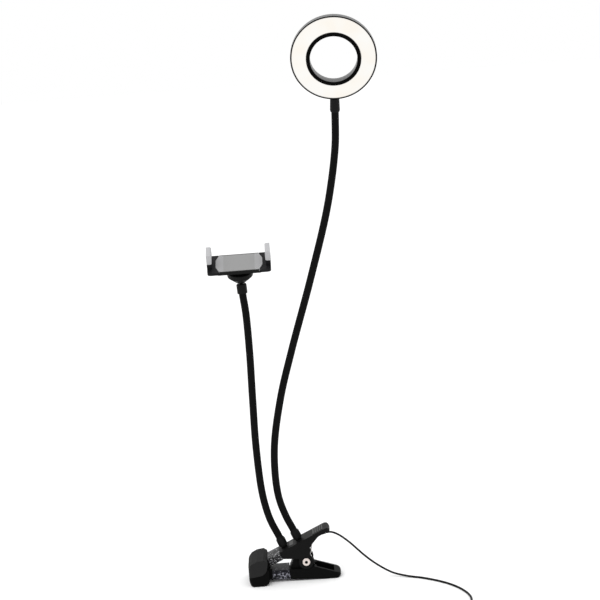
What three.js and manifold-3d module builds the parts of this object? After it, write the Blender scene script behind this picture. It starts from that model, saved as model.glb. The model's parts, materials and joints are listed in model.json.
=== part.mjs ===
// A clip-on ring light with two gooseneck arms: one carries the ring of LEDs, the other a sprung phone holder.
// Both arms stand on the upper arm of a spring clamp, which rests on its nose and the heel of its lower handle.
// Millimetres, +Z up. X runs along the clamp from jaws to handles, and the front of the light faces -Y.
import * as THREE from 'three';
import { mergeVertices } from 'three/addons/utils/BufferGeometryUtils.js';
import Module from 'manifold-3d';

const wasm = await Module();
wasm.setup();

// ---------------------------------------------------------------- driving dimensions
const GAP = 0.3; // clearance between neighbouring pieces
const PIN_X = -16.33; // where the clamp's pin stands in the frame, so the box is centred on the origin
const PIN_Y = 7.61;
const PIN_Z = 21; // height of the clamp's pin

const CLAMP_W = 24; // width of both clamp arms
const KNUCKLE_W = 16.4; // inner knuckle of the lower arm, between the upper arm's ears
const COIL_W = 10; // room for the torsion spring inside the knuckle
const EAR_R = 8.2;
const PIN_R = 3;
const NOSE_W = 44; // width of the two rubber jaw noses
const NOSE_FRONT = -63.8;

const NECK_R = 4; // gooseneck sleeve
const NECK_BORE = 2.7;
const CUP_R = 4.5; // socket round the ball end of the link below
const CORE_R = 1.9;
const FERRULE_R = 5.1;

const RING_R = 45;
const RING_HOLE_R = 24.6;
const RING_DEPTH = 10.5;
const RING_MID = 5.2; // depth of the ring's neck behind its front face
const RING_CENTRE = new THREE.Vector3(68.3, -24, 564.5);
const RING_TILT = 17; // degrees, face turned down
const RING_LEAN = 2; // degrees, top leaning to the right
const RING_TURN = -2; // degrees, face turned a little to the left
const COLLAR_RISE = 3.8; // how far the collar round the hole stands in front of the casing
const LED_COUNT = 24;

const BALL_CENTRE = new THREE.Vector3(-47, 0, 340.5);
const BALL_R = 4.5;
const BALL_DEPTH = 18; // from the holder's front face back to the ball's centre
const HOLDER_TILT = -66.8; // degrees, face turned up
const HOLDER_HALF = 33.9; // half width over the closed jaws
const HOLDER_PLATE = 21.6; // half width of the body between the jaws

const CORD_R = 1.1;
const COIL_CENTRE = [50, -151];
const COIL_R = 13; // at the middle of the coil's turns
const COIL_HALF = 4.5; // half the width of its stack of turns
const REMOTE = { near: 144, y: -150, length: 60, width: 18, height: 10.6 };
const PLUG = { start: 20, y: -150, length: 24, width: 16, height: 8.4 };

// ---------------------------------------------------------------- materials
const finish = (color, roughness, metalness = 0) => new THREE.MeshStandardMaterial({ color, roughness, metalness });
const BLACK_PLASTIC = finish(0x17171a, 0.42);
const SOFT_RUBBER = finish(0x2c2c2e, 0.75);
const BLACK_RUBBER = finish(0x0e0e10, 0.7);
const SPECKLED_GRIP = finish(0x85858a, 0.6);
const SLEEVE = finish(0x1b1b1d, 0.62);
const STEEL = finish(0xc9c9cc, 0.25, 1);
const DIFFUSER = finish(0xfffbea, 0.5);
const WHITE_PLASTIC = finish(0xf2f2ee, 0.5);
const BOARD = finish(0xe8e8e0, 0.6);
const GREY_PAD = finish(0x6b6b6e, 0.8);
const PALE_RUBBER = finish(0xb4b4b2, 0.75);

// ---------------------------------------------------------------- geometry helpers
const V = (x, y, z) => new THREE.Vector3(x, y, z);
const radians = THREE.MathUtils.degToRad;

function solid(geometry) {
  geometry.deleteAttribute('normal');
  geometry.deleteAttribute('uv');
  const merged = mergeVertices(geometry, 1e-4);
  const triVerts = Uint32Array.from(merged.index.array);
  return new wasm.Manifold(new wasm.Mesh({ numProp: 3, vertProperties: merged.attributes.position.array, triVerts }));
}

function geometryOf(body) {
  const mesh = body.getMesh();
  const geometry = new THREE.BufferGeometry();
  geometry.setAttribute('position', new THREE.BufferAttribute(mesh.vertProperties, 3));
  geometry.setIndex(new THREE.BufferAttribute(mesh.triVerts, 1));
  geometry.computeVertexNormals();
  return geometry;
}

const outline = (points) => new THREE.Shape(points.map(([x, y]) => new THREE.Vector2(x, y)));

// A side profile (x, z), drawn out to a width that is centred on y.
function slab(shape, width, y = 0, curveSegments = 10) {
  const geometry = new THREE.ExtrudeGeometry(shape, { depth: width, bevelEnabled: false, curveSegments });
  geometry.rotateX(Math.PI / 2).translate(0, y + width / 2, 0);
  return solid(geometry);
}

// A plan outline (x, y), drawn out upwards.
function prism(shape, bottom, height, curveSegments = 8) {
  const geometry = new THREE.ExtrudeGeometry(shape, { depth: height, bevelEnabled: false, curveSegments });
  return solid(geometry.translate(0, 0, bottom));
}

function block(x0, x1, y0, y1, z0, z1) {
  const geometry = new THREE.BoxGeometry(x1 - x0, y1 - y0, z1 - z0);
  return solid(geometry.translate((x0 + x1) / 2, (y0 + y1) / 2, (z0 + z1) / 2));
}

// A round bar across the clamp, along y.
function crossBar(radius, width, x, z, y = 0, sides = 24) {
  return solid(new THREE.CylinderGeometry(radius, radius, width, sides).translate(x, y, z));
}

// A turned piece: a closed profile of [radius, distance along axis], standing on `from` and pointing along `axis`.
function turned(profile, from, axis, sides = 20) {
  const closed = profile[0][0] === 0 ? profile : [...profile, profile[0]];
  const geometry = new THREE.LatheGeometry(closed.map(([r, h]) => new THREE.Vector2(r, h)), sides);
  const turn = new THREE.Quaternion().setFromUnitVectors(V(0, 1, 0), axis.clone().normalize());
  return solid(geometry.applyQuaternion(turn).translate(from.x, from.y, from.z));
}

const ball = (centre, radius, sides = 14) =>
  solid(new THREE.SphereGeometry(radius, sides, Math.round(sides * 0.7)).translate(centre.x, centre.y, centre.z));

function circle(radius, sides) {
  const corner = (i) => [radius * Math.cos((i * 2 * Math.PI) / sides), radius * Math.sin((i * 2 * Math.PI) / sides)];
  return outline(Array.from({ length: sides }, (_, i) => corner(i)));
}

const tube = (curve, radius, steps, sides) =>
  solid(new THREE.ExtrudeGeometry(circle(radius, sides), { steps, extrudePath: curve, bevelEnabled: false }));

function roundedPlan(x0, x1, y0, y1, frontX, frontY, rear) {
  const shape = new THREE.Shape();
  shape.moveTo(x0 + frontX, y0).lineTo(x1 - rear, y0).quadraticCurveTo(x1, y0, x1, y0 + rear);
  shape.lineTo(x1, y1 - rear).quadraticCurveTo(x1, y1, x1 - rear, y1).lineTo(x0 + frontX, y1);
  shape.quadraticCurveTo(x0, y1, x0, y1 - frontY).lineTo(x0, y0 + frontY).quadraticCurveTo(x0, y0, x0 + frontX, y0);
  return shape;
}

// The plan of a clamp handle: straight sides and a rounded tip at x1, rounded over tipX by tipY.
function handlePlan(x0, x1, tipX, tipY) {
  const half = CLAMP_W / 2;
  const shape = new THREE.Shape();
  shape.moveTo(x0, -half).lineTo(x1 - tipX, -half).quadraticCurveTo(x1, -half, x1, tipY - half);
  shape.lineTo(x1, half - tipY).quadraticCurveTo(x1, half, x1 - tipX, half).lineTo(x0, half);
  return shape;
}

// ---------------------------------------------------------------- assembly
const object = new THREE.Group();
const standing = new THREE.Group(); // everything, in the frame of the clamp's pin
standing.position.set(PIN_X, PIN_Y, 0);
object.add(standing);

function add(name, body, material, group = standing) {
  const mesh = new THREE.Mesh(geometryOf(body), material);
  mesh.name = name;
  group.add(mesh);
}

// ---------------------------------------------------------------- clamp
// The upper jaw slopes down to the left: s runs along it from the clamp's body, n is square to it.
const JAW_SLOPE = radians(23.4);
const JAW_ROOT = [-26.7, 29.6];
const onJaw = (s, n) => [
  JAW_ROOT[0] - s * Math.cos(JAW_SLOPE) - n * Math.sin(JAW_SLOPE),
  JAW_ROOT[1] - s * Math.sin(JAW_SLOPE) + n * Math.cos(JAW_SLOPE),
];
const jawBlock = (s0, s1, half, width) =>
  slab(outline([onJaw(s0, -half), onJaw(s0, half), onJaw(s1, half), onJaw(s1, -half)]), width);

const JAW_BAR_W = 19;
const UPPER_BAR_HALF = 2.7;
const UPPER_BAR_END = 31;
const BAND_HALF = 4.4;

function upperArm() {
  const body = outline([
    [-28.1, 33.8], [22.4, 56.95], [25, 57.3], [27, 56.3], [28.2, 54.6], [28, 53.2], [26.4, 52.6], [22.8, 52.8], [14.6, 48.4],
    [8, 41], [4.2, 35.6], [4.6, 30], [6, 26], [0, 21], [-8, 25], [-12.5, 25.4], [-25.1, 26.2],
  ]);
  const ribs = Array.from({ length: 5 }, (_, i) => i).reduce((sum, i) => {
    const x = 10 + 2.4 * i;
    const z = 33.8 + (x + 28.1) * 0.4584;
    return sum.add(crossBar(0.9, CLAMP_W - 4, x, z - 0.1, 0, 8));
  }, slab(body, CLAMP_W).intersect(prism(handlePlan(-30, 28.6, 9, 9.5), 0, 70)));
  const hollow = outline([[2.6, 26], [4.2, 45], [6.5, 47.6], [12, 50.1], [12, 26]]);
  const behindWeb = outline([[16, 40], [16, 51.4], [19, 52.4], [24, 52.6], [24, 40]]);
  const web = slab(outline([[11.2, 45.2], [16, 46.4], [16, 52.6], [11.2, 50.4]]), 8);
  return ribs
    .add(crossBar(EAR_R, CLAMP_W, 0, PIN_Z))
    .subtract(crossBar(EAR_R + 0.6, KNUCKLE_W + 2 * GAP, 0, PIN_Z))
    .subtract(crossBar(PIN_R + GAP, CLAMP_W + 2, 0, PIN_Z))
    .subtract(slab(hollow, CLAMP_W - 6))
    .add(web)
    .subtract(slab(behindWeb, CLAMP_W - 6))
    .subtract(turned([[0, -1], [1.9, -1], [1.9, 20], [0, 20]], BOOT_START, BOOT_AXIS, 12))
    .add(jawBlock(-2, UPPER_BAR_END, UPPER_BAR_HALF, JAW_BAR_W))
    .subtract(socket(LIGHT_ROOT, LIGHT_AXIS))
    .subtract(socket(PHONE_ROOT, PHONE_AXIS));
}

function lowerArm() {
  const rail = outline([
    [-18.4, 2.9], [20, 0], [32, 0], [35.3, 0.9], [37, 2.6], [37.2, 4.6], [35.6, 6], [32, 7.3], [28, 8.6],
    [8.4, 15.4], [0, 13], [-10, 13.4], [-18.4, 13.8],
  ]);
  const pocket = (side) => crossBar(EAR_R + 0.6, 4, 0, PIN_Z, side * (KNUCKLE_W / 2 + 2));
  const cheek = outline([[-18, 9], [-17.6, 15], [-14, 24.3], [-8, 24.4], [0, 28.4], [8, 19.6], [10, 12], [6, 6], [-14, 6]]);
  const bar = outline([
    [-57, 4], [-42, 4.4], [-38.6, 6.2], [-18, 6.2], [-18, 11.4], [-38.6, 11.4], [-42, 8.4], [-57, 7.6],
  ]);
  const shoulder = outline([[-41.2, 4.7], [-38.4, 4.6], [-38.4, 15.6], [-39.6, 16.8], [-41.2, 16.6]]);
  const channel = outline([[11, 3.6], [30, 2.6], [30, 30], [11, 30]]);
  const springRoom = outline([[2, 12], [12, 5.5], [12, 30], [2, 30]]);
  return slab(rail, CLAMP_W)
    .intersect(prism(handlePlan(-20, 37.2, 6, 9), -1, 30))
    .subtract(pocket(1))
    .subtract(pocket(-1))
    .add(slab(cheek, KNUCKLE_W))
    .add(slab(bar, JAW_BAR_W))
    .add(slab(shoulder, CLAMP_W))
    .subtract(crossBar(8, COIL_W, 0, PIN_Z))
    .subtract(slab(springRoom, COIL_W))
    .subtract(slab(channel, CLAMP_W - 6))
    .subtract(crossBar(PIN_R + GAP, CLAMP_W, 0, PIN_Z));
}

function rivet() {
  const reach = CLAMP_W / 2 + GAP;
  const profile = [
    [1.3, -reach - 1], [3.9, -reach - 1], [4.3, -reach - 0.5], [4.3, -reach], [PIN_R, -reach],
    [PIN_R, reach], [4.3, reach], [4.3, reach + 0.5], [3.9, reach + 1], [1.3, reach + 1],
  ];
  return turned(profile, V(0, 0, PIN_Z), V(0, 1, 0), 16);
}

// A torsion spring: four turns round the pin, with a leg into each handle.
function torsionSpring() {
  const radius = 5.7;
  const turns = 4;
  const perTurn = 10;
  const half = 3.9;
  const points = [V(26, -half, 4.4), V(14, -half, 7.6), V(5, -half, 13.9)];
  for (let i = 0; i <= turns * perTurn; i++) {
    const angle = -Math.PI / 2 + 0.35 - (i / perTurn) * 2 * Math.PI * ((turns - 0.3) / turns);
    const y = -half + (2 * half * i) / (turns * perTurn);
    points.push(V(radius * Math.cos(angle), y, PIN_Z + radius * Math.sin(angle)));
  }
  points.push(V(7.6, half, 37), V(10.2, half, 43.6));
  return tube(new THREE.CatmullRomCurve3(points), 0.85, 66, 5);
}

const NOSE_SEAM = [[-63.8, 10.2], [-56.1, 11.1], [-49.4, 12.2], [-45.4, 15], [-43.6, 18]];

function noseFrom(profile) {
  const half = NOSE_W / 2;
  const plan = roundedPlan(NOSE_FRONT, -41.3, -half, half, 4, 8, 2.5);
  return slab(outline(profile), NOSE_W).intersect(prism(plan, -1, 40));
}

function upperNose() {
  const back = [[-42.4, 24], [-43, 27], [-46.6, 29.5], [-54.2, 28.5], [-60, 25.6], [-63.8, 21.6]];
  return noseFrom([...NOSE_SEAM, ...back]).subtract(jawBlock(0, UPPER_BAR_END + GAP, UPPER_BAR_HALF + GAP, JAW_BAR_W + 2 * GAP));
}

function lowerNose() {
  const seam = NOSE_SEAM.map(([x, z]) => [x + 0.1, z - 0.5]).reverse();
  const base = [[-63.8, 6.2], [-62, 2], [-59, 0], [-47, 0], [-43, 1.9], [-41.4, 5], [-41.4, 17.4]];
  const slot = outline([[-57.3, 3.7], [-41, 4.1], [-41, 9.6], [-42.2, 8.7], [-57.3, 7.9]]);
  return noseFrom([...base, ...seam]).subtract(slab(slot, JAW_BAR_W + 2 * GAP));
}

const upperBand = () =>
  jawBlock(0.4, 15.2, BAND_HALF, CLAMP_W).subtract(jawBlock(-1, 17, UPPER_BAR_HALF + GAP, JAW_BAR_W + 2 * GAP));

function lowerBand() {
  const sleeve = outline([[-38.1, 4.5], [-18.8, 3], [-19.2, 13.7], [-38.1, 13.8]]);
  return slab(sleeve, CLAMP_W).subtract(block(-40, -17, -JAW_BAR_W / 2 - GAP, JAW_BAR_W / 2 + GAP, 5.9, 11.7));
}

// ---------------------------------------------------------------- cord exit
const BOOT_START = V(9.6, 0, 46.6);
const BOOT_AXIS = V(1, 0, 0.17).normalize();
const BOOT_LENGTH = 14.2;
const bootPoint = (s) => BOOT_START.clone().addScaledVector(BOOT_AXIS, s);

function strainRelief() {
  const profile = [[0, -0.2], [2.1, -0.2], [2.1, 1], [1.5, 1], [1.5, 8], [1.25, BOOT_LENGTH], [0, BOOT_LENGTH]];
  return turned(profile, BOOT_START, BOOT_AXIS, 12);
}

// ---------------------------------------------------------------- goosenecks
const LIGHT_ROOT = V(-6.6, 0, 43.4);
const LIGHT_AXIS = V(-0.393, 0, 0.919).normalize();
const PHONE_ROOT = V(-23, 0, 36.2);
const PHONE_AXIS = V(-0.363, 0, 0.932).normalize();
const STUB = 9; // how far a base ferrule reaches into the clamp
const BASE_FERRULE = 14;

const socket = (root, axis) => turned([[0, -STUB - GAP], [3.9, -STUB - GAP], [3.9, 8], [0, 8]], root, axis, 16);

function baseFerrule(root, axis) {
  const shoulder = 1.4; // clears the sloping top of the clamp
  const profile = [
    [0, -STUB], [3.6, -STUB], [3.6, shoulder], [FERRULE_R, shoulder + 1.2], [FERRULE_R, BASE_FERRULE - 4],
    [4.5, BASE_FERRULE - 2.5], [NECK_R, BASE_FERRULE - 2.5], [NECK_R, BASE_FERRULE], [0, BASE_FERRULE],
  ];
  const top = root.clone().addScaledVector(axis, BASE_FERRULE);
  return turned(profile, root, axis, 16).add(ball(top, NECK_R, 10));
}

// Part of a longer curve, from one share of its length to another.
class Stretch extends THREE.Curve {
  constructor(curve, from, to) {
    super();
    Object.assign(this, { curve, from, to });
  }
  getPoint(t, target = new THREE.Vector3()) {
    const u = THREE.MathUtils.clamp(this.from + (this.to - this.from) * t, 0, 1);
    return target.copy(this.curve.getPointAt(u));
  }
}

// A link of a gooseneck: its lower end is a cup on the joint below, its upper end a ball inside the cup above.
function neckLink(curve, from, to, last) {
  const length = curve.getLength();
  const steps = Math.max(6, Math.round(((to - from) * length) / 15));
  const past = last ? 0 : (NECK_R + 1) / length;
  const bore = tube(new Stretch(curve, from, to + past), NECK_BORE, steps + 1, 8);
  const sleeve = tube(new Stretch(curve, from, to), NECK_R, steps, 10);
  const capped = last ? sleeve : sleeve.add(ball(curve.getPointAt(to), NECK_R, 10));
  return capped.subtract(ball(curve.getPointAt(from), CUP_R, 10)).subtract(bore);
}

function neckCore(curve, from, to, last) {
  const inset = 7 / curve.getLength();
  const tail = last ? 30 / curve.getLength() : inset;
  const steps = Math.max(5, Math.round(((to - from) * curve.getLength()) / 16));
  return tube(new Stretch(curve, from + inset, to - tail), CORE_R, steps, 6);
}

function gooseneck(prefix, curve, shares) {
  for (let i = 0; i + 1 < shares.length; i++) {
    const last = i + 2 === shares.length;
    add(`${prefix}_sleeve_${i + 1}`, neckLink(curve, shares[i], shares[i + 1], last), SLEEVE);
    add(`${prefix}_core_${i + 1}`, neckCore(curve, shares[i], shares[i + 1], last), STEEL);
  }
}

// ---------------------------------------------------------------- ring head, in its own frame: front face at y = 0
const ringHead = new THREE.Group();
ringHead.position.copy(RING_CENTRE);
ringHead.rotation.set(radians(RING_TILT), radians(RING_LEAN), radians(RING_TURN), 'YXZ');
ringHead.updateMatrix();
standing.add(ringHead);

const AROUND = V(0, 1, 0);
const ringTurned = (profile, sides = 36) => turned(profile, V(0, 0, 0), AROUND, sides);
const SCREW_CIRCLE = 40.2;
const screwPlaces = [90, 210, 330].map((degrees) => radians(degrees));

function rearShell() {
  const profile = [
    [RING_R, 0], [RING_R, 7.4], [44.2, 9.5], [42.2, RING_DEPTH], [27.2, RING_DEPTH], [25.3, 9.7], [RING_HOLE_R, 7.8],
    [RING_HOLE_R, 2.8], [26, 2.8], [26, 9], [43.7, 9], [43.7, 0],
  ];
  const neckHole = turned([[0, -50], [3.5, -50], [3.5, -42], [0, -42]], V(0, RING_MID, 0), V(0, 0, 1), 12);
  return screwPlaces.reduce(
    (shell, a) => shell.subtract(crossBar(1.3, 6, SCREW_CIRCLE * Math.cos(a), SCREW_CIRCLE * Math.sin(a), 9, 8)),
    ringTurned(profile).subtract(neckHole),
  );
}

// The diffuser rises from the casing's rim to a raised collar round the hole.
function diffuser() {
  const profile = [[28.9, -2.9], [31.5, -2.6], [35.5, -1.8], [39.5, -0.7], [43.4, 0.8], [43.4, 2.6], [28.9, 2.6]];
  return ringTurned(profile);
}

function innerBezel() {
  const front = -COLLAR_RISE;
  const profile = [
    [RING_HOLE_R, front + 0.6], [25.2, front], [28, front], [28.6, front + 0.6], [28.6, 2.5], [RING_HOLE_R, 2.5],
  ];
  return ringTurned(profile);
}

const reflectorWall = () => ringTurned([[43.1, 2.9], [43.4, 2.9], [43.4, 8.7], [42.7, 8.7], [42.7, 2.9]], 36);

function ledBoard() {
  let board = ringTurned([[27, 7.2], [42.4, 7.2], [42.4, 8.4], [27, 8.4]], 32);
  for (let i = 0; i < LED_COUNT; i++) {
    const angle = (i / LED_COUNT) * 2 * Math.PI;
    const chip = new THREE.BoxGeometry(3.5, 1, 2.8).translate(35, 6.9, 0).rotateY(angle);
    board = board.add(solid(chip));
  }
  return screwPlaces.reduce(
    (b, a) => b.subtract(crossBar(1.3, 6, SCREW_CIRCLE * Math.cos(a), SCREW_CIRCLE * Math.sin(a), 9, 8)),
    board,
  );
}

function ringScrew(angle) {
  const profile = [[0, 6.4], [1, 6.4], [1, RING_DEPTH + GAP], [2.3, RING_DEPTH + GAP], [2.1, 11.8], [0, 12.1]];
  return turned(profile, V(SCREW_CIRCLE * Math.cos(angle), 0, SCREW_CIRCLE * Math.sin(angle)), AROUND, 12);
}

// The neck ferrule hangs from the ring's rim; h is the distance below the ring's centre.
const NECK_TOP = 45.4;
const NECK_END = 60;
const NECK_GRIP = 7; // how far the gooseneck's sleeve reaches up into the ferrule
function neckFerrule() {
  const profile = [
    [0, 43.9], [3.1, 43.9], [3.1, NECK_TOP], [4.9, NECK_TOP], [FERRULE_R + 0.2, NECK_END - 2], [4.9, NECK_END],
    [NECK_R + 0.5, NECK_END], [NECK_R + 0.5, NECK_END - NECK_GRIP - GAP], [0, NECK_END - NECK_GRIP - GAP],
  ];
  return turned(profile, V(0, RING_MID, 0), V(0, 0, -1), 16);
}
const neckPoint = (h) => V(0, RING_MID, -h).applyMatrix4(ringHead.matrix);

// ---------------------------------------------------------------- phone holder, in its own frame: pad face at y = 0
const holder = new THREE.Group();
holder.rotation.set(radians(HOLDER_TILT), 0, 0);
holder.position.copy(V(0, -BALL_DEPTH, 0).applyEuler(holder.rotation).add(BALL_CENTRE));
standing.add(holder);

// A long octagon; each cut corner takes cutX off the long side and cutZ off the short one.
function octagon(halfX, halfZ, cutX, cutZ) {
  const corners = [
    [halfX, cutZ - halfZ], [halfX, halfZ - cutZ], [halfX - cutX, halfZ], [cutX - halfX, halfZ],
    [-halfX, halfZ - cutZ], [-halfX, cutZ - halfZ], [cutX - halfX, -halfZ], [halfX - cutX, -halfZ],
  ];
  return outline(corners);
}
const PAD = { halfX: 24.9, halfZ: 15.9, cutX: 3.6, cutZ: 9.4, thick: 1.2 };
const padSlab = (grow, y0, y1) =>
  slab(octagon(PAD.halfX + grow, PAD.halfZ + grow, PAD.cutX, PAD.cutZ), y1 - y0, (y0 + y1) / 2);
const frontPad = () => padSlab(0, 0, PAD.thick);

// The pad lies in a recess that the body and the two jaws share, so its cut corners show the jaws.
const padRecess = () => padSlab(GAP, -1, PAD.thick + GAP);
const PLATE_HALF = 17.6; // half the height of the body and jaws
const PLATE = [0.4, 3.5]; // depth of their front and back faces
const TONGUE = [3, 9.4];
const BOSS_R = 9;

function holderBack() {
  const plate = slab(octagon(21.3, PLATE_HALF, 0.3, 0.3), PLATE[1] - PLATE[0], (PLATE[0] + PLATE[1]) / 2);
  const channel = block(-22, 22, 1, PLATE[1] + 1, -9.7, 9.7);
  const backWall = slab(octagon(21, 13.6, 3, 3), 2.4, PLATE[1] + 0.1 + 1.2);
  const rails = block(-21, 21, 3, 4, 9.7, 13.6).add(block(-21, 21, 3, 4, -13.6, -9.7));
  const end = BALL_DEPTH - 1.6;
  const boss = turned([[0, 5], [BOSS_R, 5], [BOSS_R, end - 1.2], [BOSS_R - 0.6, end], [0, end]], V(0, 0, 0), AROUND, 24);
  return plate.subtract(channel).subtract(padRecess())
    .add(rails)
    .add(backWall)
    .subtract(block(-22, 22, 3.4, PLATE[1] + GAP, -9.7, 9.7))
    .add(boss)
    .subtract(ball(V(0, BALL_DEPTH, 0), BALL_R + GAP));
}

function jaw(side) {
  const [inner, outer] = TONGUE;
  const plate = new THREE.Shape();
  const half = PLATE_HALF;
  plate.moveTo(HOLDER_PLATE, -half).lineTo(HOLDER_HALF - 4, -half).quadraticCurveTo(HOLDER_HALF, -half, HOLDER_HALF, 4 - half);
  plate.lineTo(HOLDER_HALF, half - 4).quadraticCurveTo(HOLDER_HALF, half, HOLDER_HALF - 4, half).lineTo(HOLDER_PLATE, half);
  const base = slab(plate, PLATE[1] - PLATE[0], (PLATE[0] + PLATE[1]) / 2).subtract(padRecess());
  const tongue = block(-6, HOLDER_PLATE + 1, PAD.thick + GAP, PLATE[1], -outer, -inner);
  const rise = block(HOLDER_HALF - 5, HOLDER_HALF, -5, PLATE[1], -9.5, 9.5);
  const finger = block(HOLDER_HALF - 3.8, HOLDER_HALF - 1.6, -14.4, 0, -7.5, 7.5);
  const whole = base.add(tongue).add(rise).add(finger);
  return side > 0 ? whole : whole.rotate([0, 180, 0]);
}

function jawPad(side) {
  const x0 = HOLDER_HALF - 5.4;
  const shape = roundedPlan(x0, HOLDER_HALF, -16.2, -5.3, 2, 2, 0.2);
  const boot = prism(shape, -9, 18);
  const slot = block(HOLDER_HALF - 4.1, HOLDER_HALF - 1.3, -14.7, 0, -7.8, 7.8);
  const whole = boot.subtract(slot);
  return side > 0 ? whole : whole.rotate([0, 180, 0]);
}

function jawSpring() {
  const turns = 9;
  const perTurn = 6;
  const reach = HOLDER_PLATE - 0.8;
  const points = Array.from({ length: turns * perTurn + 1 }, (_, i) => {
    const angle = (i / perTurn) * 2 * Math.PI;
    return V(-reach + (2 * reach * i) / (turns * perTurn), 2.6 + 0.65 * Math.cos(angle), 0.65 * Math.sin(angle));
  });
  return tube(new THREE.CatmullRomCurve3(points), 0.25, turns * perTurn, 5);
}

// Screwed on the boss, it closes round the ball and opens out again below for the stud's swing.
function lockNut() {
  const mouth = BALL_DEPTH + 4.6;
  const profile = [
    [BOSS_R + GAP, 10], [13.4, 10], [13.9, 10.6], [13.9, 15.4], [13.4, 15.9], [6.9, mouth - 0.2], [6.4, mouth],
    [5.3, mouth], [4.17, BALL_DEPTH + 2.4], [4.75, BALL_DEPTH + 1.2], [4.9, BALL_DEPTH + 0.3],
    [BOSS_R - 0.3, BALL_DEPTH - 1], [BOSS_R + GAP, BALL_DEPTH - 2.4],
  ];
  return turned(profile, V(0, 0, 0), AROUND, 24);
}

// The stud leans a little; its heights are measured along it, and the ball's centre keeps its own height.
const STUD_AXIS = V(-0.05, 0, 1).normalize();
const STUD_ROOT = BALL_CENTRE.clone().addScaledVector(STUD_AXIS, -BALL_CENTRE.z);
const studPoint = (height) => STUD_ROOT.clone().addScaledVector(STUD_AXIS, height);
const PHONE_FERRULE = [322.3, 333];
function phoneFerrule() {
  const [bottom, top] = PHONE_FERRULE;
  const profile = [
    [NECK_R + 0.5, bottom], [5.3, bottom], [5.5, bottom + 1], [5.5, top - 1], [4.6, top], [2.3, top],
    [2.3, bottom + 5], [NECK_R + 0.5, bottom + 5],
  ];
  return turned(profile, STUD_ROOT, STUD_AXIS, 16);
}

function ballStud() {
  const bottom = PHONE_FERRULE[0] + 5.6;
  const profile = [[0, bottom], [1.9, bottom], [1.9, BALL_CENTRE.z], [0, BALL_CENTRE.z]];
  return turned(profile, STUD_ROOT, STUD_AXIS, 12).add(ball(BALL_CENTRE, BALL_R, 14));
}

// ---------------------------------------------------------------- cord, in-line remote and plug
// Straight out of the clamp, down to the table, then forward to the remote.
const LEAD_ROUTE = [
  [29.5, 0, 49.3], [36.5, -1, 46.5], [43.5, -2.4, 41.6], [51, -4.4, 35.2], [58, -7, 28.5], [65, -10, 22.2],
  [77.5, -14.6, 12.9], [93, -20, 4.6], [109, -26.5, 1.5], [126, -36, CORD_R + 0.1], [148, -56, CORD_R + 0.1],
  [162, -78, CORD_R + 0.1], [169, -102, CORD_R + 0.1], [167, -125, CORD_R + 0.1], [160, -140, CORD_R + 0.1],
];
const leadStart = bootPoint(BOOT_LENGTH + GAP);
const leadEnd = V(REMOTE.near + GAP, REMOTE.y, CORD_R + 1.4);
const leadRoute = [leadStart, bootPoint(BOOT_LENGTH + 2.5), ...LEAD_ROUTE.map((p) => V(...p)),
  V(REMOTE.near + 9, REMOTE.y + 2, CORD_R + 0.6), V(REMOTE.near + 3, REMOTE.y, CORD_R + 1.3), leadEnd];

const farEnd = REMOTE.near - REMOTE.length;
const intoCoil = [
  V(farEnd - GAP, REMOTE.y, CORD_R + 1.4), V(farEnd - 3, REMOTE.y, CORD_R + 1.3), V(farEnd - 8, REMOTE.y + 1, CORD_R + 0.5),
  V(farEnd - 13.5, REMOTE.y + 3.5, CORD_R + 0.1),
];
const outOfCoil = [
  V(PLUG.start + 14, PLUG.y + 9, CORD_R + 3.4), V(PLUG.start + 9, PLUG.y + 4, CORD_R + 1.4),
  V(PLUG.start + 5, PLUG.y + 1, CORD_R + 1.8), V(PLUG.start + 2.5, PLUG.y, CORD_R + 3),
  V(PLUG.start + GAP, PLUG.y, PLUG.height / 2),
];
const cordTube = (points, steps) => tube(new THREE.CatmullRomCurve3(points), CORD_R, steps, 8);

function coil() {
  const inner = COIL_R - COIL_HALF;
  const outer = COIL_R + COIL_HALF;
  const profile = [[inner, 1], [inner + 0.9, 0.1], [outer - 0.9, 0.1], [outer, 1], [outer, 8], [outer - 0.9, 8.9],
    [inner + 0.9, 8.9], [inner, 8]];
  return turned(profile, V(...COIL_CENTRE, 0), V(0, 0, 1), 24);
}

// The remote's shells, hollowed out, and three buttons along its top.
const REMOTE_SPLIT = 5.2;
const remotePlan = (inset) => {
  const half = REMOTE.width / 2 - inset;
  const round = 5 - inset;
  return roundedPlan(farEnd + inset, REMOTE.near - inset, REMOTE.y - half, REMOTE.y + half, round, round, round);
};
const BUTTONS = [-15, 0, 15].map((along) => (REMOTE.near + farEnd) / 2 + along);

const BOARD_Z = [4.8, 6];
function remoteBase() {
  const shell = prism(remotePlan(0), 0.1, REMOTE_SPLIT - 0.1).subtract(prism(remotePlan(1.6), 1.6, REMOTE_SPLIT));
  return [farEnd + 6, REMOTE.near - 6].reduce(
    (base, x) => base.add(block(x - 2, x + 2, REMOTE.y - 2, REMOTE.y + 2, 1, BOARD_Z[0] - GAP)),
    shell,
  );
}
const remoteBoard = () => block(farEnd + 4, REMOTE.near - 4, REMOTE.y - 6.6, REMOTE.y + 6.6, ...BOARD_Z);

function remoteCover() {
  const shell = prism(remotePlan(0), REMOTE_SPLIT + GAP, REMOTE.height - REMOTE_SPLIT - GAP)
    .subtract(prism(remotePlan(1.6), REMOTE_SPLIT - 1, REMOTE.height - REMOTE_SPLIT - 0.6));
  return BUTTONS.reduce(
    (cover, x) => cover.subtract(turned([[0, 4], [3.3, 4], [3.3, 14], [0, 14]], V(x, REMOTE.y, 0), V(0, 0, 1), 16)),
    shell,
  );
}

function button(x) {
  const profile = [[0, 7.2], [3.9, 7.2], [3.9, 8.7], [3, 8.7], [3, 11.1], [2.5, 11.5], [0, 11.6]];
  return turned(profile, V(x, REMOTE.y, 0), V(0, 0, 1), 16);
}

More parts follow.
